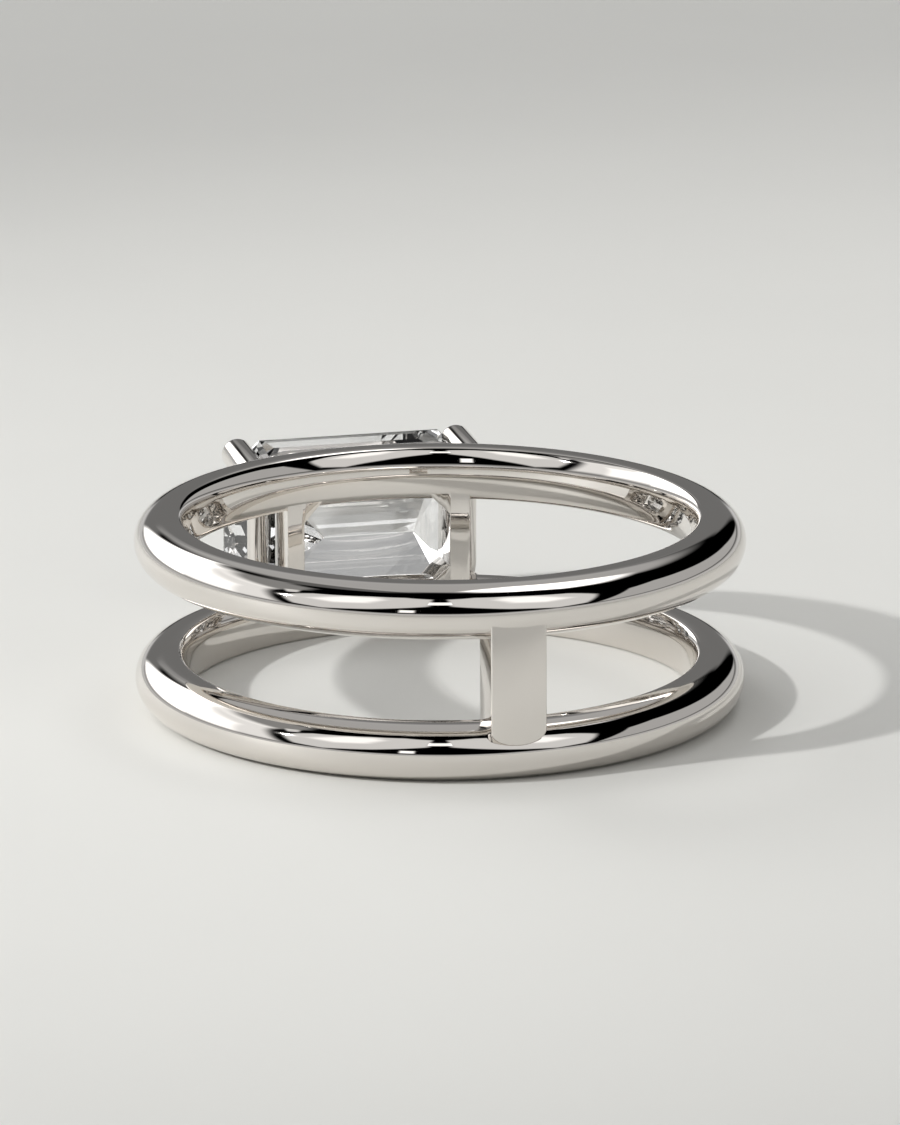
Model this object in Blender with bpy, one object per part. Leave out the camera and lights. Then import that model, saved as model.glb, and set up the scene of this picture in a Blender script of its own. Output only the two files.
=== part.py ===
# East west ring: two plain bands joined by a back bar and by an open head that carries
# an emerald-cut stone with its long axis across the finger.
# Lengths in metres. The ring lies on its side: ring axis +Z, head towards +Y, base on z = 0.

import math

import bmesh
import bpy
from mathutils import Vector

MM = 0.001

# Bands: a shallow inner dome, flat shoulders and a deep outer dome
BORE_RADIUS = 8.38 * MM
INNER_DOME = 0.34 * MM
OUTER_DOME = 0.95 * MM
OUTER_RADIUS = 10.14 * MM
BAND_WIDTH = 1.81 * MM
BAND_SPACING = 4.66 * MM
BAND_SEGMENTS = 96
INNER_DOME_STEPS = 6
OUTER_DOME_STEPS = 12

MID_HEIGHT = (BAND_SPACING + BAND_WIDTH) / 2

# Back bar
BACK_WIDTH = 1.84 * MM
BACK_INNER = 8.66 * MM
BACK_OUTER = 10.11 * MM
BACK_DROP = 1.97 * MM
BACK_RISE = 2.3 * MM
BACK_TIP_HEIGHT = 0.5 * MM
BACK_TIP_STEPS = 11
BACK_EDGE = 0.07 * MM

# Bridge bars beside the finger side of the stone, their inner faces curved with the bands
BRIDGE_HALF_LENGTH = 3.23 * MM
BRIDGE_OPENING = 2.58 * MM
BRIDGE_HALF_HEIGHT = 2.1 * MM
BRIDGE_INNER = 7.0 * MM
BRIDGE_OUTER = 9.7 * MM
BRIDGE_GUSSET = 1.07 * MM
BRIDGE_FACE_RADIUS = 8.5 * MM
BRIDGE_WINDOW = 2.0 * MM
CUTTER_MARGIN = 1.0 * MM

# Gallery rail, a closed wire loop under the stone
RAIL_RADIUS = 0.37 * MM
RAIL_HALF_LENGTH = 3.72 * MM
RAIL_HALF_WIDTH = 2.56 * MM
RAIL_CORNER = 1.15 * MM
RAIL_LEVEL = 10.42 * MM
RAIL_CORNER_STEPS = 6
RAIL_SIDES = 14

# Claws
CLAW_RADIUS = 0.475 * MM
CLAW_ALONG = 3.92 * MM
CLAW_ACROSS = 2.47 * MM
CLAW_ROOT = 9.0 * MM
CLAW_TIP_CENTRE = 12.27 * MM
CLAW_SIDES = 20
CLAW_DOME_RINGS = 5

# Stone, radial levels measured from the ring axis
STONE_SEAT_GAP = 0.04 * MM
STONE_KEEL_HALF = 1.58 * MM
STONE_KEEL_LEVEL = 9.5 * MM
# Outlines from the table down to the step nearest the keel
STONE_STEPS = (
    {"half_length": 3.4 * MM, "half_width": 1.77 * MM, "corner": 0.8 * MM, "level": 13.19 * MM},
    {"half_length": 3.84 * MM, "half_width": 2.21 * MM, "corner": 0.98 * MM, "level": 13.0 * MM},
    {"half_length": 4.2 * MM, "half_width": 2.57 * MM, "corner": 1.14 * MM, "level": 12.74 * MM},
    {"half_length": 4.48 * MM, "half_width": 2.87 * MM, "corner": 1.28 * MM, "level": 12.37 * MM},
    {"half_length": 4.48 * MM, "half_width": 2.87 * MM, "corner": 1.28 * MM, "level": 12.23 * MM},
    {"half_length": 3.34 * MM, "half_width": 1.98 * MM, "corner": 0.56 * MM, "level": 11.05 * MM},
    {"half_length": 2.36 * MM, "half_width": 1.0 * MM, "corner": 0.19 * MM, "level": 10.2 * MM},
)
CROWN_OUTLINES = 4

# The bounding box is centred on the origin in plan
CLAW_TOP = CLAW_TIP_CENTRE + CLAW_RADIUS
FAR_REACH = STONE_STEPS[0]["level"]
AXIS_Y = (OUTER_RADIUS - FAR_REACH) / 2


def clear_scene():
    for item in list(bpy.data.objects):
        bpy.data.objects.remove(item, do_unlink=True)


def place(along, radial, height):
    """Point from tangent, radial and mid-height coordinates at the head."""
    return Vector((along, AXIS_Y + radial, MID_HEIGHT + height))


def upright(along, height, radial):
    """The same point for an outline drawn in the face of the head or of the back bar."""
    return place(along, radial, height)


def finish(obj, mesh_bm):
    bmesh.ops.recalc_face_normals(mesh_bm, faces=mesh_bm.faces)
    mesh_bm.to_mesh(obj.data)
    mesh_bm.free()
    return obj


def new_object(name):
    obj = bpy.data.objects.new(name, bpy.data.meshes.new(name))
    bpy.context.scene.collection.objects.link(obj)
    return obj


def skin_rings(mesh_bm, rings, closed_path):
    """Bridge equal rings of vertices with quads, capping an open path."""
    count = len(rings[0])
    spans = len(rings) if closed_path else len(rings) - 1
    for index in range(spans):
        here = rings[index]
        there = rings[(index + 1) % len(rings)]
        for side in range(count):
            step = (side + 1) % count
            mesh_bm.faces.new((here[side], here[step], there[step], there[side]))
    if not closed_path:
        mesh_bm.faces.new(rings[0])
        mesh_bm.faces.new(list(reversed(rings[-1])))


def band(name, mid_height):
    """Plain hoop whose section is domed inside and outside between flat shoulders."""
    half = BAND_WIDTH / 2
    section = []
    for step in range(OUTER_DOME_STEPS + 1):
        angle = math.pi * (step / OUTER_DOME_STEPS - 0.5)
        radius = OUTER_RADIUS - OUTER_DOME + OUTER_DOME * math.cos(angle)
        section.append((radius, half * math.sin(angle)))
    for step in range(INNER_DOME_STEPS + 1):
        angle = math.pi * (0.5 - step / INNER_DOME_STEPS)
        radius = BORE_RADIUS + INNER_DOME - INNER_DOME * math.cos(angle)
        section.append((radius, half * math.sin(angle)))
    mesh_bm = bmesh.new()
    rings = []
    for index in range(BAND_SEGMENTS):
        turn = 2 * math.pi * index / BAND_SEGMENTS
        ring = [
            mesh_bm.verts.new(
                (radius * math.sin(turn), AXIS_Y + radius * math.cos(turn), mid_height + rise)
            )
            for radius, rise in section
        ]
        rings.append(ring)
    skin_rings(mesh_bm, rings, closed_path=True)
    return finish(new_object(name), mesh_bm)


def prism(name, outline, start, end, to_point):
    """Straight prism of a closed outline between two levels."""
    mesh_bm = bmesh.new()
    rings = [
        [mesh_bm.verts.new(to_point(first, second, level)) for first, second in outline]
        for level in (start, end)
    ]
    skin_rings(mesh_bm, rings, closed_path=False)
    return finish(new_object(name), mesh_bm)


def back_bar():
    """Flat-faced upright at the back with a half-round lower end."""
    half = BACK_WIDTH / 2
    outline = [(half, BACK_RISE), (-half, BACK_RISE)]
    shoulder = -BACK_DROP + BACK_TIP_HEIGHT
    for step in range(BACK_TIP_STEPS + 1):
        angle = math.pi * step / BACK_TIP_STEPS
        outline.append((-half * math.cos(angle), shoulder - BACK_TIP_HEIGHT * math.sin(angle)))
    bar = prism("back_bar", outline, -BACK_OUTER, -BACK_INNER, upright)
    bevel = bar.modifiers.new("soft_edges", "BEVEL")
    bevel.width = BACK_EDGE
    bevel.segments = 2
    bevel.limit_method = "ANGLE"
    bevel.angle_limit = math.radians(50)
    apply_modifiers(bar)
    return bar


def bridge_block():
    """Block between the bands whose eight-sided window leaves two upright bars."""
    outer = rectangle(BRIDGE_HALF_LENGTH, BRIDGE_HALF_HEIGHT)
    block = prism("bridge_block", outer, BRIDGE_INNER, BRIDGE_OUTER, upright)
    bore = prism(
        "bore",
        circle(BRIDGE_FACE_RADIUS, BAND_SEGMENTS),
        -BRIDGE_HALF_HEIGHT - CUTTER_MARGIN,
        BRIDGE_HALF_HEIGHT + CUTTER_MARGIN,
        place,
    )
    cut(block, bore)
    window = prism(
        "bridge_window",
        clipped_rectangle(BRIDGE_OPENING, BRIDGE_WINDOW, BRIDGE_GUSSET),
        BRIDGE_INNER - CUTTER_MARGIN,
        BRIDGE_OUTER + CUTTER_MARGIN,
        upright,
    )
    cut(block, window)
    return block


def circle(radius, segments):
    turns = [2 * math.pi * index / segments for index in range(segments)]
    return [(radius * math.sin(turn), radius * math.cos(turn)) for turn in turns]


def rectangle(half_length, half_width):
    return [
        (half_length, half_width),
        (-half_length, half_width),
        (-half_length, -half_width),
        (half_length, -half_width),
    ]


def clipped_rectangle(half_length, half_width, corner):
    outline = []
    for side_x, side_y, first in ((1, 1, True), (-1, 1, False), (-1, -1, True), (1, -1, False)):
        low = (side_x * half_length, side_y * (half_width - corner))
        high = (side_x * (half_length - corner), side_y * half_width)
        outline += [low, high] if first else [high, low]
    return outline


def gallery_rail():
    """Round wire bent into a rectangle with rounded corners."""
    path = []
    for quarter in range(4):
        sign_x = (1, -1, -1, 1)[quarter]
        sign_y = (1, 1, -1, -1)[quarter]
        centre_x = sign_x * (RAIL_HALF_LENGTH - RAIL_CORNER)
        centre_y = sign_y * (RAIL_HALF_WIDTH - RAIL_CORNER)
        for step in range(RAIL_CORNER_STEPS + 1):
            angle = math.pi / 2 * (quarter + step / RAIL_CORNER_STEPS)
            outward = Vector((math.cos(angle), math.sin(angle)))
            path.append((Vector((centre_x, centre_y)) + outward * RAIL_CORNER, outward))
    mesh_bm = bmesh.new()
    rings = []
    for centre, outward in path:
        ring = []
        for side in range(RAIL_SIDES):
            angle = 2 * math.pi * (side + 0.5) / RAIL_SIDES
            spot = centre + outward * RAIL_RADIUS * math.cos(angle)
            level = RAIL_LEVEL + RAIL_RADIUS * math.sin(angle)
            ring.append(mesh_bm.verts.new(place(spot.x, level, spot.y)))
        rings.append(ring)
    skin_rings(mesh_bm, rings, closed_path=True)
    return finish(new_object("gallery_rail"), mesh_bm)


def claw(name, along, across):
    """Round upright wire with a domed tip."""
    mesh_bm = bmesh.new()
    levels = [(CLAW_ROOT, CLAW_RADIUS), (CLAW_TIP_CENTRE, CLAW_RADIUS)]
    for step in range(1, CLAW_DOME_RINGS):
        angle = math.pi / 2 * step / CLAW_DOME_RINGS
        levels.append(
            (CLAW_TIP_CENTRE + CLAW_RADIUS * math.sin(angle), CLAW_RADIUS * math.cos(angle))
        )
    rings = []
    for level, radius in levels:
        ring = []
        for side in range(CLAW_SIDES):
            angle = 2 * math.pi * side / CLAW_SIDES
            ring.append(
                mesh_bm.verts.new(
                    place(along + radius * math.cos(angle), level, across + radius * math.sin(angle))
                )
            )
        rings.append(ring)
    for index in range(len(rings) - 1):
        for side in range(CLAW_SIDES):
            step = (side + 1) % CLAW_SIDES
            mesh_bm.faces.new(
                (rings[index][side], rings[index][step], rings[index + 1][step], rings[index + 1][side])
            )
    mesh_bm.faces.new(rings[0])
    pole = mesh_bm.verts.new(place(along, CLAW_TOP, across))
    for side in range(CLAW_SIDES):
        mesh_bm.faces.new((rings[-1][side], rings[-1][(side + 1) % CLAW_SIDES], pole))
    return finish(new_object(name), mesh_bm)


def stone_body(name, growth=0.0):
    """Step-cut stone with clipped corners, grown outward evenly for the seat cutter."""
    mesh_bm = bmesh.new()
    rings = []
    for number, step in enumerate(STONE_STEPS):
        lift = growth if number < CROWN_OUTLINES else -growth
        outline = clipped_rectangle(
            step["half_length"] + growth, step["half_width"] + growth, step["corner"]
        )
        rings.append(
            [mesh_bm.verts.new(place(along, step["level"] + lift, across)) for along, across in outline]
        )
    for upper, lower in zip(rings, rings[1:]):
        for side in range(8):
            step = (side + 1) % 8
            mesh_bm.faces.new((upper[side], upper[step], lower[step], lower[side]))
    mesh_bm.faces.new(rings[0])
    right = mesh_bm.verts.new(place(STONE_KEEL_HALF, STONE_KEEL_LEVEL - growth, 0))
    left = mesh_bm.verts.new(place(-STONE_KEEL_HALF, STONE_KEEL_LEVEL - growth, 0))
    last = rings[-1]
    for first, second in ((0, 1), (6, 7), (7, 0)):
        mesh_bm.faces.new((last[first], last[second], right))
    for first, second in ((2, 3), (3, 4), (4, 5)):
        mesh_bm.faces.new((last[first], last[second], left))
    mesh_bm.faces.new((last[1], last[2], left, right))
    mesh_bm.faces.new((last[5], last[6], right, left))
    return finish(new_object(name), mesh_bm)


def apply_modifiers(obj):
    bpy.context.view_layer.update()
    depsgraph = bpy.context.evaluated_depsgraph_get()
    baked = bpy.data.meshes.new_from_object(obj.evaluated_get(depsgraph))
    old = obj.data
    obj.modifiers.clear()
    obj.data = baked
    bpy.data.meshes.remove(old)


def combine(target, other, operation):
    boolean = target.modifiers.new(operation.lower(), "BOOLEAN")
    boolean.operation = operation
    boolean.solver = "EXACT"
    boolean.object = other
    apply_modifiers(target)
    bpy.data.objects.remove(other, do_unlink=True)


def cut(target, cutter):
    combine(target, cutter, "DIFFERENCE")


def weld(target, other):
    combine(target, other, "UNION")


def material(name, colour, metallic, roughness, transmission=0.0, index=1.5):
    made = bpy.data.materials.new(name)
    made.use_nodes = True
    shader = made.node_tree.nodes["Principled BSDF"]
    shader.inputs["Base Color"].default_value = (*colour, 1.0)
    shader.inputs["Metallic"].default_value = metallic
    shader.inputs["Roughness"].default_value = roughness
    shader.inputs["Transmission Weight"].default_value = transmission
    shader.inputs["IOR"].default_value = index
    return made


def build():
    clear_scene()
    lower = BAND_WIDTH / 2
    ring = band("ring_frame", lower)
    weld(ring, band("upper_band", lower + BAND_SPACING))
    weld(ring, back_bar())
    weld(ring, bridge_block())
    weld(ring, gallery_rail())
    for along in (-CLAW_ALONG, CLAW_ALONG):
        for across in (-CLAW_ACROSS, CLAW_ACROSS):
            weld(ring, claw("claw", along, across))
    cut(ring, stone_body("stone_seat", STONE_SEAT_GAP))
    ring.data.materials.clear()
    ring.data.materials.append(material("polished_white_gold", (0.80, 0.78, 0.75), 1.0, 0.06))
    for face in ring.data.polygons:
        face.use_smooth = True
        face.material_index = 0
    stone = stone_body("emerald_cut_stone")
    stone.data.materials.append(material("clear_stone", (1.0, 1.0, 1.0), 0.0, 0.0, 1.0, 2.417))


build()
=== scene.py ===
"""East west ring: two polished bands, a back bar and an open claw head with a step-cut stone."""

import logging
import math
from collections.abc import Callable
from dataclasses import dataclass, replace
from enum import Enum
from typing import ClassVar

import bmesh
import bpy
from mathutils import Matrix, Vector


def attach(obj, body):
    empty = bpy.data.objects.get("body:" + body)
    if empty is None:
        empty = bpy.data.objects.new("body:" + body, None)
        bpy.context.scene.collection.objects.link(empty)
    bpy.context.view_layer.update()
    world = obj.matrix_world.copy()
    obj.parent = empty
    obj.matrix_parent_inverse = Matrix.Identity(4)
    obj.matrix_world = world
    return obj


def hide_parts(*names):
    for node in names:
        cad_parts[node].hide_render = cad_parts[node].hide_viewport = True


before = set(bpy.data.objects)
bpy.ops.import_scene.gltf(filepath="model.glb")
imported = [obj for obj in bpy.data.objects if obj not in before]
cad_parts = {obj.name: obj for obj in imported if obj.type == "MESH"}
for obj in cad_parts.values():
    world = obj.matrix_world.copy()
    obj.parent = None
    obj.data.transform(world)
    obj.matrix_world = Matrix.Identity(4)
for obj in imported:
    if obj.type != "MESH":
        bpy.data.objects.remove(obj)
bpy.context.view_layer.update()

MM = 0.001
TINY = 1e-7  # metres, finer than the spacing of any two points
MERGE = 1e-6  # metres, points nearer than this become one
HALF_TURN = 180.0
FULL_TURN = 360.0
LOG = logging.getLogger("ring")

Triple = tuple[float, float, float]


# Layout and hand tools


class Kind(Enum):
    """What a selection picks."""

    POINT = "VERT"
    EDGE = "EDGE"


class Slot(Enum):
    """Material slots of the record."""

    GOLD = "white_gold"
    STONE = "clear_stone"


@dataclass(frozen=True)
class Layout:
    """Where the ring axis and the middle plane between the bands are."""

    axis_y: float = -1.525 * MM
    mid_height: float = 3.235 * MM
    band_rise: float = 2.33 * MM

    def place(self, along: float, radial: float, height: float) -> Vector:
        """Give the point at a distance along the stone, from the axis and above the middle."""
        return Vector((along, self.axis_y + radial, self.mid_height + height))


LAYOUT = Layout()


def clear_hands() -> None:
    """Leave edit mode and deselect everything."""
    if bpy.context.object and bpy.context.object.mode != "OBJECT":
        bpy.ops.object.mode_set(mode="OBJECT")
    bpy.ops.object.select_all(action="DESELECT")


def take(obj: bpy.types.Object) -> None:
    """Select one object alone and make it active.

    Args:
        obj: The object to take.
    """
    clear_hands()
    obj.select_set(True)
    bpy.context.view_layer.objects.active = obj


def settle(name: str) -> bpy.types.Object:
    """Name the new primitive and move its place into its mesh.

    Args:
        name: Name of the piece.

    Returns:
        The piece, its object at the origin.
    """
    obj = bpy.context.object
    obj.name = name
    obj.data.name = name
    bpy.ops.object.transform_apply(location=True, rotation=True, scale=True)
    return obj


def start_edit(obj: bpy.types.Object) -> None:
    """Open a piece in edit mode with nothing selected.

    Args:
        obj: The piece to edit.
    """
    take(obj)
    bpy.ops.object.mode_set(mode="EDIT")
    bpy.ops.mesh.select_all(action="DESELECT")


def end_edit() -> None:
    """Go back to object mode."""
    bpy.ops.object.mode_set(mode="OBJECT")


def pick(obj: bpy.types.Object, kind: Kind, wanted: Callable[[object], bool]) -> None:
    """Select the points or edges that pass a test.

    Args:
        obj: The piece in edit mode.
        kind: What to pick.
        wanted: Test on each point or edge.
    """
    bpy.ops.mesh.select_mode(type=kind.value)
    bpy.ops.mesh.select_all(action="DESELECT")
    shape = bmesh.from_edit_mesh(obj.data)
    for item in shape.verts if kind is Kind.POINT else shape.edges:
        if wanted(item):
            item.select_set(True)
    shape.select_flush_mode()
    bmesh.update_edit_mesh(obj.data)


def stretch(factors: Triple, centre: Vector) -> None:
    """Resize the selection along x, y and z about a fixed point."""
    bpy.ops.transform.resize(value=factors, center_override=tuple(centre))


def shift(offset: Triple) -> None:
    """Move the selection by an offset."""
    bpy.ops.transform.translate(value=offset)


def tidy_mesh(obj: bpy.types.Object) -> None:
    """Merge doubles and turn all faces outwards.

    Args:
        obj: The piece to tidy.
    """
    start_edit(obj)
    bpy.ops.mesh.select_all(action="SELECT")
    bpy.ops.mesh.remove_doubles(threshold=MERGE)
    bpy.ops.mesh.normals_make_consistent(inside=False)
    end_edit()


def finish_modifiers(obj: bpy.types.Object) -> None:
    """Apply every modifier of a piece.

    Args:
        obj: The piece that carries them.
    """
    take(obj)
    for name in [modifier.name for modifier in obj.modifiers]:
        bpy.ops.object.modifier_apply(modifier=name)


def round_edges(obj: bpy.types.Object, width: float, steps: int, angle: float) -> None:
    """Break the sharp edges of a piece as a polishing wheel does.

    Args:
        obj: The piece.
        width: Width of the broken edge.
        steps: Faces across it.
        angle: Smallest edge angle in degrees that is broken.
    """
    bevel = obj.modifiers.new("polished_edges", "BEVEL")
    bevel.width = width
    bevel.segments = steps
    bevel.limit_method = "ANGLE"
    bevel.angle_limit = math.radians(angle)
    bevel.use_clamp_overlap = True
    finish_modifiers(obj)


def cut_away(obj: bpy.types.Object, cutter: bpy.types.Object) -> None:
    """Cut one solid out of another and remove the cutter.

    Args:
        obj: The solid that is kept.
        cutter: The solid that is cut away.
    """
    boolean = obj.modifiers.new("cut", "BOOLEAN")
    boolean.operation = "DIFFERENCE"
    boolean.solver = "EXACT"
    boolean.object = cutter
    finish_modifiers(obj)
    bpy.data.objects.remove(cutter, do_unlink=True)


def smooth(obj: bpy.types.Object, crease: float) -> None:
    """Shade a piece smooth except across edges sharper than a crease in degrees."""
    take(obj)
    bpy.ops.object.shade_smooth_by_angle(angle=math.radians(crease))


# Shader maths


@dataclass(frozen=True)
class Signal:
    """A shader socket that takes part in Python expressions."""

    recipe: "Recipe"
    socket: bpy.types.NodeSocket

    def _mix(self, operation: str, first: object, second: object) -> "Signal":
        """Add one Math node and return its result."""
        return self.recipe.node("ShaderNodeMath", {"operation": operation}, {0: first, 1: second})

    def __add__(self, other: object) -> "Signal":
        """Return self + other."""
        return self._mix("ADD", self, other)

    def __radd__(self, other: object) -> "Signal":
        """Return other + self."""
        return self._mix("ADD", other, self)

    def __sub__(self, other: object) -> "Signal":
        """Return self - other."""
        return self._mix("SUBTRACT", self, other)

    def __rsub__(self, other: object) -> "Signal":
        """Return other - self."""
        return self._mix("SUBTRACT", other, self)

    def __mul__(self, other: object) -> "Signal":
        """Return self * other."""
        return self._mix("MULTIPLY", self, other)

    def __rmul__(self, other: object) -> "Signal":
        """Return other * self."""
        return self._mix("MULTIPLY", other, self)

    def least(self, other: object) -> "Signal":
        """Return the smaller of self and other."""
        return self._mix("MINIMUM", self, other)


@dataclass
class Recipe:
    """Node tree of one finish or of the surroundings."""

    owner: bpy.types.Material | bpy.types.World

    # the Mix node's colour sockets, by number because others there have the same names
    MIX_AMOUNT: ClassVar[int] = 0
    MIX_FIRST: ClassVar[int] = 6
    MIX_SECOND: ClassVar[int] = 7
    MIX_COLOUR: ClassVar[int] = 2

    def __post_init__(self) -> None:
        """Start with an empty tree."""
        self.owner.use_nodes = True
        self.owner.node_tree.nodes.clear()

    @classmethod
    def for_finish(cls, name: str) -> "Recipe":
        """Start the recipe of a new material."""
        return cls(bpy.data.materials.new(name))

    def node(
        self,
        kind: str,
        settings: dict[str, object],
        inputs: dict[int | str, object],
        output: int | str = 0,
    ) -> Signal:
        """Add a node.

        Args:
            kind: Node type.
            settings: Node properties, set before the sockets.
            inputs: Socket name or index to a value or a Signal.
            output: Name or index of the output to return.

        Returns:
            The chosen output.
        """
        tree = self.owner.node_tree
        made = tree.nodes.new(kind)
        for key, value in settings.items():
            setattr(made, key, value)
        for key, value in inputs.items():
            if isinstance(value, Signal):
                tree.links.new(value.socket, made.inputs[key])
            else:
                made.inputs[key].default_value = value
        return Signal(self, made.outputs[output])

    def place_on_object(self) -> Signal:
        """Return the Object coordinates."""
        return self.node("ShaderNodeTexCoord", {}, {}, "Object")

    def noise(self, scale: float, detail: float, stretch_by: Triple = (1, 1, 1)) -> Signal:
        """Add a noise pattern on the object's own coordinates.

        Args:
            scale: Cells per metre.
            detail: Levels of detail.
            stretch_by: Scale of the pattern along x, y and z.

        Returns:
            The noise value from 0 to 1.
        """
        where = self.node(
            "ShaderNodeMapping", {}, {"Vector": self.place_on_object(), "Scale": stretch_by}
        )
        return self.node(
            "ShaderNodeTexNoise", {}, {"Vector": where, "Scale": scale, "Detail": detail}
        )

    def blend(self, amount: Signal, first: Triple, second: Triple) -> Signal:
        """Mix two colours by a value.

        Args:
            amount: 0 gives the first colour, 1 the second.
            first: First colour.
            second: Second colour.

        Returns:
            The mixed colour.
        """
        inputs = {
            self.MIX_AMOUNT: amount,
            self.MIX_FIRST: (*first, 1.0),
            self.MIX_SECOND: (*second, 1.0),
        }
        return self.node("ShaderNodeMix", {"data_type": "RGBA"}, inputs, self.MIX_COLOUR)

    def bump(self, height: Signal, distance: float, strength: float) -> Signal:
        """Turn a height pattern, distance metres high at a value of 1, into a normal."""
        inputs = {"Strength": strength, "Distance": distance, "Height": height}
        return self.node("ShaderNodeBump", {}, inputs)

    def close(self, shader: Signal, output: str = "ShaderNodeOutputMaterial") -> bpy.types.ID:
        """Lead a shader to the output.

        Args:
            shader: The finished shader.
            output: Type of the output node.

        Returns:
            The material or the surroundings.
        """
        tree = self.owner.node_tree
        tree.links.new(shader.socket, tree.nodes.new(output).inputs["Surface"])
        return self.owner


@dataclass(frozen=True)
class WhiteGold:
    """Mirror-polished white gold with the faint haze and ripples of a polishing wheel."""

    light: Triple = (0.77, 0.74, 0.705)
    warm: Triple = (0.745, 0.71, 0.67)
    roughness: float = 0.025
    haze: float = 0.03
    clouds_per_metre: float = 420.0
    marks_per_metre: float = 5200.0
    mark_direction: Triple = (1, 1, 0.25)
    ripples_per_metre: float = 900.0
    ripple_height: float = 0.004 * MM
    ripple_strength: float = 0.35

    def make(self) -> bpy.types.Material:
        """Mix the two tones, the wheel marks and the ripples.

        Returns:
            The material.
        """
        recipe = Recipe.for_finish(f"{Slot.GOLD.value}_polish")
        cloud = recipe.noise(self.clouds_per_metre, detail=2.0)
        wheel = recipe.noise(self.marks_per_metre, detail=4.0, stretch_by=self.mark_direction)
        ripple = recipe.noise(self.ripples_per_metre, detail=1.0)
        colour = recipe.blend(cloud, self.light, self.warm)
        roughness = self.roughness + self.haze * (cloud * wheel)
        normal = recipe.bump(ripple, self.ripple_height, self.ripple_strength)
        shader = recipe.node(
            "ShaderNodeBsdfPrincipled",
            {},
            {"Base Color": colour, "Metallic": 1.0, "Roughness": roughness, "Normal": normal},
        )
        return recipe.close(shader)


@dataclass(frozen=True)
class ClearStone:
    """Clear stone with a strong refraction and a trace of internal cloud."""

    clear: Triple = (1.0, 1.0, 1.0)
    cloud: Triple = (0.955, 0.965, 0.975)
    refraction: float = 2.15
    veils_per_metre: float = 700.0
    roughness: float = 0.004

    def make(self) -> bpy.types.Material:
        """Mix the clear body and its veil.

        Returns:
            The material.
        """
        recipe = Recipe.for_finish(f"{Slot.STONE.value}_polish")
        veil = recipe.noise(self.veils_per_metre, detail=3.0)
        colour = recipe.blend(veil, self.clear, self.cloud)
        shader = recipe.node(
            "ShaderNodeBsdfPrincipled",
            {},
            {
                "Base Color": colour,
                "Metallic": 0.0,
                "Roughness": self.roughness * veil,
                "IOR": self.refraction,
                "Transmission Weight": 1.0,
            },
        )
        return recipe.close(shader)


@dataclass(frozen=True)
class PaleFloor:
    """Plain pale floor."""

    light: Triple = (0.805, 0.802, 0.768)
    dark: Triple = (0.77, 0.767, 0.735)
    roughness: float = 0.6
    clouds_per_metre: float = 60.0

    def make(self) -> bpy.types.Material:
        """Mix the two tones of the floor.

        Returns:
            The material.
        """
        recipe = Recipe.for_finish("pale_floor")
        cloud = recipe.noise(self.clouds_per_metre, detail=2.0)
        colour = recipe.blend(cloud, self.light, self.dark)
        shader = recipe.node(
            "ShaderNodeBsdfPrincipled", {}, {"Base Color": colour, "Roughness": self.roughness}
        )
        return recipe.close(shader)


# Pieces


def fit_piece(obj: bpy.types.Object, finish: bpy.types.Material, node: str) -> None:
    """Give a piece its finish and tie it to the frame.

    Args:
        obj: The finished piece.
        finish: Its material.
        node: The solid that it stands for.
    """
    obj.data.materials.clear()
    obj.data.materials.append(finish)
    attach(obj, "root")
    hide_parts(node)
    LOG.info("%s: %d faces", obj.name, len(obj.data.polygons))


@dataclass
class Band:
    """Plain hoop, domed inside and outside between flat shoulders."""

    name: str
    rise: float
    bore: float = 8.38 * MM
    inner_dome: float = 0.34 * MM
    outer_dome: float = 0.95 * MM
    outer: float = 10.14 * MM
    width: float = 1.81 * MM
    section_points: int = 96
    turns: int = 288
    crease: float = 35.0

    def build(self) -> bpy.types.Object:
        """Shape the section by hand and spin it round the ring axis.

        Returns:
            The band.
        """
        half = self.width / 2
        seat = LAYOUT.place(0.0, self.bore + self.inner_dome, self.rise)
        shoulder = self.outer - self.outer_dome - self.bore - self.inner_dome
        clear_hands()
        bpy.ops.mesh.primitive_circle_add(
            vertices=self.section_points, radius=half, location=seat, rotation=(0, math.pi / 2, 0)
        )
        band = settle(self.name)
        start_edit(band)
        pick(band, Kind.POINT, lambda point: point.co.y < seat.y - TINY)
        stretch((1, self.inner_dome / half, 1), seat)
        pick(band, Kind.POINT, lambda point: point.co.y > seat.y + TINY)
        stretch((1, self.outer_dome / half, 1), seat)
        pick(band, Kind.POINT, lambda point: point.co.y > seat.y - TINY)
        bpy.ops.mesh.split()
        shift((0, shoulder, 0))
        for side in (1, -1):
            level = seat.z + side * half
            pick(band, Kind.POINT, lambda point: abs(point.co.z - level) < TINY)
            bpy.ops.mesh.edge_face_add()
        bpy.ops.mesh.select_all(action="SELECT")
        bpy.ops.mesh.spin(
            steps=self.turns,
            angle=2 * math.pi,
            center=tuple(LAYOUT.place(0, 0, 0)),
            axis=(0, 0, 1),
        )
        end_edit()
        tidy_mesh(band)
        smooth(band, self.crease)
        return band


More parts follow.
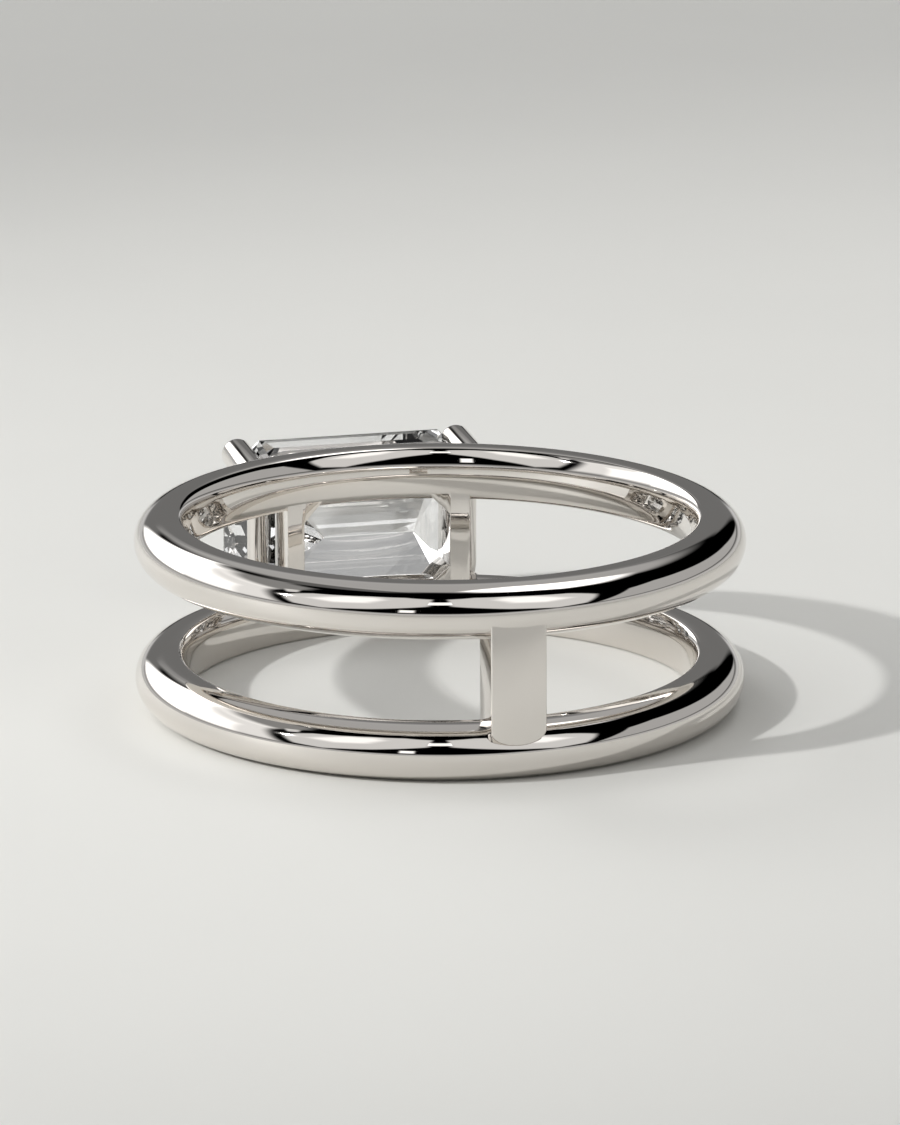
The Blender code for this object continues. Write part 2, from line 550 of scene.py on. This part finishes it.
@dataclass
class BackBar:
    """Flat-faced upright at the back with a half-round lower end."""

    width: float = 1.84 * MM
    inner: float = 8.66 * MM
    outer: float = 10.11 * MM
    rise: float = LAYOUT.band_rise
    drop: float = 1.97 * MM
    tip: float = 0.5 * MM
    tip_steps: int = 24
    tip_share: float = 0.9999  # of half the width, so that the two rounds never quite meet
    edge: float = 0.07 * MM
    edge_steps: int = 4
    edge_angle: float = 50.0
    aside: float = -0.085 * MM
    lean: float = 0.07 * MM
    crease: float = 30.0

    def build(self) -> bpy.types.Object:
        """Round the lower end of a flat bar, lean its top inward and break its edges.

        Returns:
            The bar.
        """
        half = self.width / 2
        shoulder = -self.drop + self.tip
        low = shoulder - half
        size = (self.width, self.outer - self.inner, self.rise - low)
        centre = LAYOUT.place(0, -(self.outer + self.inner) / 2, (self.rise + low) / 2)
        clear_hands()
        bpy.ops.mesh.primitive_cube_add(size=1, location=centre, scale=size)
        bar = settle("back_bar")
        start_edit(bar)
        bottom = LAYOUT.place(0, 0, low).z
        pick(bar, Kind.EDGE, lambda edge: self._is_lower_edge(edge, bottom))
        bpy.ops.mesh.bevel(
            offset=half * self.tip_share,
            segments=self.tip_steps,
            affect="EDGES",
            clamp_overlap=False,
        )
        turn = LAYOUT.place(0, 0, shoulder)
        pick(bar, Kind.POINT, lambda point: point.co.z < turn.z - TINY)
        stretch((1, 1, self.tip / half), turn)
        top = LAYOUT.place(0, 0, self.rise)
        pick(bar, Kind.POINT, lambda point: point.co.z > top.z - TINY)
        shift((0, self.lean, 0))
        bpy.ops.mesh.select_all(action="SELECT")
        shift((self.aside, 0, 0))
        end_edit()
        tidy_mesh(bar)
        round_edges(bar, self.edge, self.edge_steps, self.edge_angle)
        smooth(bar, self.crease)
        return bar

    @staticmethod
    def _is_lower_edge(edge: bmesh.types.BMEdge, bottom: float) -> bool:
        """Say whether an edge runs from front to back along the bottom.

        Args:
            edge: The edge.
            bottom: Height of the bottom.

        Returns:
            True for the two edges that become the half-round end.
        """
        first, second = edge.verts
        low = max(first.co.z, second.co.z) < bottom + TINY
        return low and abs(first.co.x - second.co.x) < TINY


@dataclass
class Bridge:
    """Two uprights beside the finger side of the stone, with chamfered corners."""

    half_length: float = 3.23 * MM
    half_height: float = 2.1 * MM
    inner: float = 7.0 * MM
    outer: float = 9.7 * MM
    face_radius: float = 8.5 * MM
    opening: float = 2.58 * MM
    window: float = 2.0 * MM
    gusset: float = 1.07 * MM
    edge: float = 0.05 * MM
    edge_steps: int = 3
    aside: float = -0.05 * MM
    bore_points: int = 288
    crease: float = 30.0

    def build(self) -> bpy.types.Object:
        """Cut the bore and the eight-sided window out of a block.

        Returns:
            The bridge bars.
        """
        depth = self.outer - self.inner
        middle = LAYOUT.place(self.aside, (self.outer + self.inner) / 2, 0)
        clear_hands()
        size = (2 * self.half_length, depth, 2 * self.half_height)
        bpy.ops.mesh.primitive_cube_add(size=1, location=middle, scale=size)
        block = settle("bridge_bars")
        clear_hands()
        bpy.ops.mesh.primitive_cylinder_add(
            vertices=self.bore_points,
            radius=self.face_radius,
            depth=4 * self.half_height,
            location=LAYOUT.place(0, 0, 0),
        )
        cut_away(block, settle("finger_bore"))
        cut_away(block, self._window(middle, depth))
        tidy_mesh(block)
        round_edges(block, self.edge, self.edge_steps, self.crease)
        smooth(block, self.crease)
        return block

    def _window(self, middle: Vector, depth: float) -> bpy.types.Object:
        """Make the cutter of the opening between the uprights.

        Args:
            middle: Middle of the block.
            depth: Depth of the block.

        Returns:
            The cutter.
        """
        clear_hands()
        size = (2 * self.opening, 2 * depth, 2 * self.window)
        bpy.ops.mesh.primitive_cube_add(size=1, location=middle, scale=size)
        window = settle("bridge_window")
        start_edit(window)
        pick(
            window,
            Kind.EDGE,
            lambda edge: abs(edge.verts[0].co.y - edge.verts[1].co.y) > depth,
        )
        bpy.ops.mesh.bevel(offset=self.gusset, segments=1, affect="EDGES")
        end_edit()
        return window


@dataclass
class GalleryRail:
    """Round wire bent into a rectangle with rounded corners under the stone."""

    radius: float = 0.37 * MM
    half_length: float = 3.72 * MM
    half_width: float = 2.56 * MM
    corner: float = 1.15 * MM
    corner_steps: int = 14
    level: float = 10.42 * MM
    wire_steps: int = 10
    crease: float = 60.0

    def build(self) -> bpy.types.Object:
        """Bend a rectangle of wire, round its corners and give it its thickness.

        Returns:
            The rail.
        """
        clear_hands()
        bpy.ops.mesh.primitive_plane_add(
            size=1, location=LAYOUT.place(0, self.level, 0), rotation=(math.pi / 2, 0, 0)
        )
        bpy.context.object.scale = (2 * self.half_length, 2 * self.half_width, 1)
        rail = settle("gallery_rail")
        start_edit(rail)
        bpy.ops.mesh.select_all(action="SELECT")
        bpy.ops.mesh.bevel(offset=self.corner, segments=self.corner_steps, affect="VERTICES")
        bpy.ops.mesh.select_mode(type="FACE")
        bpy.ops.mesh.select_all(action="SELECT")
        bpy.ops.mesh.delete(type="ONLY_FACE")
        end_edit()
        take(rail)
        bpy.ops.object.convert(target="CURVE")
        rail.data.bevel_depth = self.radius
        rail.data.bevel_resolution = self.wire_steps
        bpy.ops.object.convert(target="MESH")
        tidy_mesh(rail)
        smooth(rail, self.crease)
        return rail


@dataclass
class Claws:
    """Four round wires with domed tips at the stone's clipped corners."""

    radius: float = 0.55 * MM
    along: float = 3.92 * MM
    across: float = 2.47 * MM
    root: float = 9.0 * MM
    tip: float = 12.15 * MM
    flare: float = 0.24 * MM
    aside: float = -0.085 * MM
    sides: int = 48
    crease: float = 60.0
    other_corners: tuple[tuple[int, int], ...] = ((-1, 1), (-1, -1), (1, -1))

    def build(self) -> list[bpy.types.Object]:
        """Model one claw and copy it to the other three corners.

        Returns:
            The four claws.
        """
        first = self._claw()
        claws = [first]
        for number, (side_x, side_z) in enumerate(self.other_corners, start=2):
            take(first)
            bpy.ops.object.duplicate(linked=False)
            copy = bpy.context.object
            copy.name = copy.data.name = f"claw_{number}"
            start_edit(copy)
            bpy.ops.mesh.select_all(action="SELECT")
            stretch((side_x, 1, side_z), LAYOUT.place(self.aside, 0, 0))
            end_edit()
            tidy_mesh(copy)
            claws.append(copy)
        return claws

    def _claw(self) -> bpy.types.Object:
        """Draw half a ball out into a wire.

        Returns:
            The claw at the upper right corner.
        """
        seat = LAYOUT.place(self.along + self.aside, self.tip, self.across)
        clear_hands()
        bpy.ops.mesh.primitive_uv_sphere_add(
            segments=self.sides,
            ring_count=self.sides // 2,
            radius=self.radius,
            location=seat,
            rotation=(math.pi / 2, 0, 0),
        )
        claw = settle("claw_1")
        start_edit(claw)
        pick(claw, Kind.POINT, lambda point: point.co.y < seat.y - TINY)
        bpy.ops.mesh.delete(type="VERT")
        pick(claw, Kind.EDGE, lambda edge: edge.is_boundary)
        bpy.ops.mesh.extrude_edges_move(
            TRANSFORM_OT_translate={"value": (0, self.root - self.tip, -self.flare)}
        )
        bpy.ops.mesh.edge_face_add()
        end_edit()
        tidy_mesh(claw)
        smooth(claw, self.crease)
        return claw


@dataclass
class Stone:
    """Step-cut stone with clipped corners, its solid kept and dressed."""

    node: str = "emerald_cut_stone"

    def dress(self, finish: bpy.types.Material) -> None:
        """Give the stone its finish.

        Args:
            finish: The clear stone's material.
        """
        stone = bpy.data.objects[self.node]
        stone.data.materials.clear()
        stone.data.materials.append(finish)
        LOG.info("%s: %d faces", stone.name, len(stone.data.polygons))


# Floor, lights and camera


@dataclass(frozen=True)
class Viewpoint:
    """Camera of the photograph, its angles in degrees."""

    turn: float = 15.0
    elevation: float = 15.38
    distance: float = 225.9 * MM
    focal_pixels: float = 6800.0
    image: tuple[int, int] = (900, 1125)
    aim_pixel: tuple[float, float] = (440.0, 605.9)
    aim_drop: float = 0.02 * MM
    sensor_mm: float = 36.0
    nearest: float = 10 * MM
    farthest: float = 10.0

    def towards(self, azimuth: float, elevation: float) -> Vector:
        """Give a direction from the ring in the photograph's own angles.

        Args:
            azimuth: 0 is towards the camera, positive to the right.
            elevation: Angle above the floor.

        Returns:
            A unit vector of the frame.
        """
        turn = math.radians(self.turn)
        side = math.radians(azimuth)
        up = math.radians(elevation)
        nearer = Vector((-math.sin(turn), -math.cos(turn), 0))
        right = Vector((math.cos(turn), -math.sin(turn), 0))
        flat = nearer * math.cos(side) + right * math.sin(side)
        return flat * math.cos(up) + Vector((0, 0, math.sin(up)))

    def build(self) -> None:
        """Set up the camera."""
        data = bpy.data.cameras.new("camera")
        width, height = self.image
        data.sensor_width = self.sensor_mm
        data.lens = self.focal_pixels / height * self.sensor_mm
        data.shift_x = (width / 2 - self.aim_pixel[0]) / height
        data.shift_y = (self.aim_pixel[1] - height / 2) / height
        data.clip_start = self.nearest
        data.clip_end = self.farthest
        camera = bpy.data.objects.new("camera", data)
        bpy.context.scene.collection.objects.link(camera)
        away = self.towards(0.0, self.elevation)
        camera.location = LAYOUT.place(0, 0, -self.aim_drop) + away * self.distance
        camera.rotation_euler = away.to_track_quat("Z", "Y").to_euler()
        bpy.context.scene.camera = camera


@dataclass(frozen=True)
class Glow:
    """Soft field of light round the ring, outlined in degrees of azimuth and elevation.

    The corners run anticlockwise as seen from the ring. Azimuths over 180 go on behind it.
    The softness is the width of the fading edge in degrees.
    """

    corners: tuple[tuple[float, float], ...]
    radiance: float
    softness: float

    HALF: ClassVar[float] = 0.5  # share of the fading edge on each side of the outline

    def mirrored(self) -> "Glow":
        """Return the same field on the other side of the camera."""
        corners = tuple((-azimuth, elevation) for azimuth, elevation in reversed(self.corners))
        return replace(self, corners=corners)

    def shine(self, recipe: Recipe, around: Signal, behind: Signal) -> Signal:
        """Fade the field in across its outline.

        Args:
            recipe: Node tree of the surroundings.
            around: Azimuth from -180 to 180 degrees, elevation and 1 as a vector.
            behind: The same with the azimuth from 0 to 360 degrees.

        Returns:
            The radiance of the field.
        """
        farthest = max(azimuth for azimuth, _ in self.corners)
        place = behind if farthest > HALF_TURN else around
        depth = None
        for first, second in zip(self.corners, self.corners[1:] + self.corners[:1]):
            reach = math.dist(first, second) * self.softness
            lean = (first[1] - second[1]) / reach
            rise = (second[0] - first[0]) / reach
            side = recipe.node(
                "ShaderNodeVectorMath",
                {"operation": "DOT_PRODUCT"},
                {0: place, 1: (lean, rise, -first[0] * lean - first[1] * rise)},
                "Value",
            )
            depth = side if depth is None else depth.least(side)
        share = recipe.node(
            "ShaderNodeMapRange",
            {"interpolation_type": "SMOOTHSTEP"},
            {"Value": depth, "From Min": -self.HALF, "From Max": self.HALF},
        )
        return share * self.radiance


LEFT_BOX = Glow(
    (
        (-5, 37), (-5, 67), (-28, 72), (-50, 68), (-68, 54), (-68, 36), (-56, 12), (-44, 8),
        (-26, 19),
    ),
    0.78,
    3.5,
)
LEFT_BOX_HEART = Glow(((-56, 38), (-44, 34), (-32, 42), (-30, 58), (-40, 65), (-54, 60)), 0.6, 9.0)


@dataclass(frozen=True)
class Studio:
    """Plain floor, soft fields of light and one strong lamp, with angles in degrees."""

    floor_size: float = 1.6
    lamp_azimuth: float = -65.7
    lamp_elevation: float = 34.8
    lamp_distance: float = 450 * MM
    lamp_radius: float = 10 * MM
    lamp_power: float = 4.6
    lamp_cone: float = 21.0
    lamp_fade: float = 1.0
    lamp_aim: float = 14 * MM
    tint: tuple[float, float, float, float] = (1.0, 1.0, 1.0, 1.0)
    glows: tuple[Glow, ...] = (
        # left wall, its bright end and its dimmer top
        Glow(((-158, 8), (-62, 8), (-72, 28), (-84, 47), (-138, 47), (-158, 38)), 1.0, 7.0),
        Glow(((-158, 8), (-82, 8), (-90, 32), (-140, 43), (-158, 37)), 0.6, 8.0),
        Glow(((-158, 8), (-112, 8), (-118, 36), (-140, 42), (-158, 37)), 1.6, 6.0),
        Glow(((-148, 44), (-80, 44), (-84, 60), (-100, 65), (-128, 60)), 0.29, 5.0),
        Glow(((-84, 52), (-74, 46), (-72, 50), (-82, 57)), 0.8, 2.0),
        # the soft boxes at the camera's left and right
        LEFT_BOX,
        LEFT_BOX_HEART,
        LEFT_BOX.mirrored(),
        LEFT_BOX_HEART.mirrored(),
        # small light and strip between the boxes
        Glow(((-5.5, 43), (5.5, 43), (5.5, 54.5), (-5.5, 54.5)), 1.4, 1.0),
        Glow(((-15, 10), (-9.5, 10), (-9.5, 20), (-15, 20)), 1.5, 1.5),
        # right wall
        Glow(((60, 7), (160, 7), (145, 17), (132, 22), (112, 29), (98, 33), (82, 31)), 0.48, 2.0),
        # ceiling at the right, then the wall behind with its corner and foot
        Glow(
            (
                (106, 66), (116, 59), (132, 54), (150, 50), (168, 56), (168, 74), (140, 79),
                (116, 77),
            ),
            2.2,
            8.0,
        ),
        Glow(
            (
                (143, 46), (160, 28), (170, 20), (200, 20), (204, 36), (206, 50), (212, 62),
                (208, 78), (150, 80), (136, 51),
            ),
            0.46,
            9.0,
        ),
        Glow(((204, 50), (232, 60), (240, 78), (206, 80)), 0.14, 10.0),
        Glow(((164, 4), (203, 4), (203, 20), (168, 20)), 0.18, 4.0),
        # far rim of the floor
        Glow(((-170, -12), (170, -12), (170, 5), (-170, 5)), 0.6, 5.0),
    )

    def build(self, view: Viewpoint, floor_finish: bpy.types.Material) -> None:
        """Set up floor, lights and world.

        Args:
            view: Camera whose angles are used.
            floor_finish: The floor's material.
        """
        self._floor(floor_finish)
        self._surroundings(view)
        data = bpy.data.lights.new("lamp", "SPOT")
        data.energy = self.lamp_power
        data.shadow_soft_size = self.lamp_radius
        data.spot_size = math.radians(self.lamp_cone)
        data.spot_blend = self.lamp_fade
        lamp = bpy.data.objects.new("lamp", data)
        bpy.context.scene.collection.objects.link(lamp)
        away = view.towards(self.lamp_azimuth, self.lamp_elevation)
        lamp.location = LAYOUT.place(0, 0, 0) + away * self.lamp_distance
        back = lamp.location - LAYOUT.place(0, self.lamp_aim, 0)
        lamp.rotation_euler = back.to_track_quat("Z", "Y").to_euler()

    def _surroundings(self, view: Viewpoint) -> None:
        """Light the ring by soft fields all round it.

        Args:
            view: Camera whose angles are used.
        """
        world = bpy.data.worlds.new("studio")
        recipe = Recipe(world)
        sight = recipe.node("ShaderNodeTexCoord", {}, {}, "Generated")
        x, y, z = (recipe.node("ShaderNodeSeparateXYZ", {}, {0: sight}, axis) for axis in "XYZ")
        turn = math.radians(view.turn)
        right = x * math.cos(turn) - y * math.sin(turn)
        nearer = x * -math.sin(turn) - y * math.cos(turn)
        angle = recipe.node("ShaderNodeMath", {"operation": "ARCTAN2"}, {0: right, 1: nearer})
        azimuth = angle * math.degrees(1.0)
        turned = recipe.node(
            "ShaderNodeMath", {"operation": "FLOORED_MODULO"}, {0: azimuth, 1: FULL_TURN}
        )
        rise = recipe.node("ShaderNodeMath", {"operation": "ARCSINE"}, {0: z})
        height = rise * math.degrees(1.0)
        around, behind = (
            recipe.node("ShaderNodeCombineXYZ", {}, {0: side, 1: height, 2: 1.0})
            for side in (azimuth, turned)
        )
        fields = [glow.shine(recipe, around, behind) for glow in self.glows]
        light = sum(fields[1:], fields[0])
        sky = recipe.node("ShaderNodeBackground", {}, {"Color": self.tint, "Strength": light})
        recipe.close(sky, "ShaderNodeOutputWorld")
        bpy.context.scene.world = world

    def _floor(self, finish: bpy.types.Material) -> None:
        """Lay the floor.

        Args:
            finish: The floor's material.
        """
        clear_hands()
        bpy.ops.mesh.primitive_plane_add(size=self.floor_size)
        floor = settle("floor")
        floor.data.materials.append(finish)


def set_picture() -> None:
    """Set the tone curve and the light paths."""
    scene = bpy.context.scene
    scene.view_settings.view_transform = "Standard"
    scene.view_settings.look = "None"
    scene.cycles.max_bounces = 14
    scene.cycles.glossy_bounces = 7
    scene.cycles.transmission_bounces = 12
    scene.cycles.diffuse_bounces = 2
    scene.cycles.use_denoising = True
    scene.cycles.caustics_reflective = True
    scene.cycles.caustics_refractive = True


def main() -> None:
    """Build and dress the ring, then the studio."""
    logging.basicConfig(level=logging.INFO)
    gold = WhiteGold().make()
    view = Viewpoint()
    pieces = [
        Band("lower_band", -LAYOUT.band_rise).build(),
        Band("upper_band", LAYOUT.band_rise).build(),
        BackBar().build(),
        Bridge().build(),
        GalleryRail().build(),
        *Claws().build(),
    ]
    for piece in pieces:
        fit_piece(piece, gold, "ring_frame")
    Stone().dress(ClearStone().make())
    Studio().build(view, PaleFloor().make())
    view.build()
    set_picture()


if __name__ == "__main__":
    main()
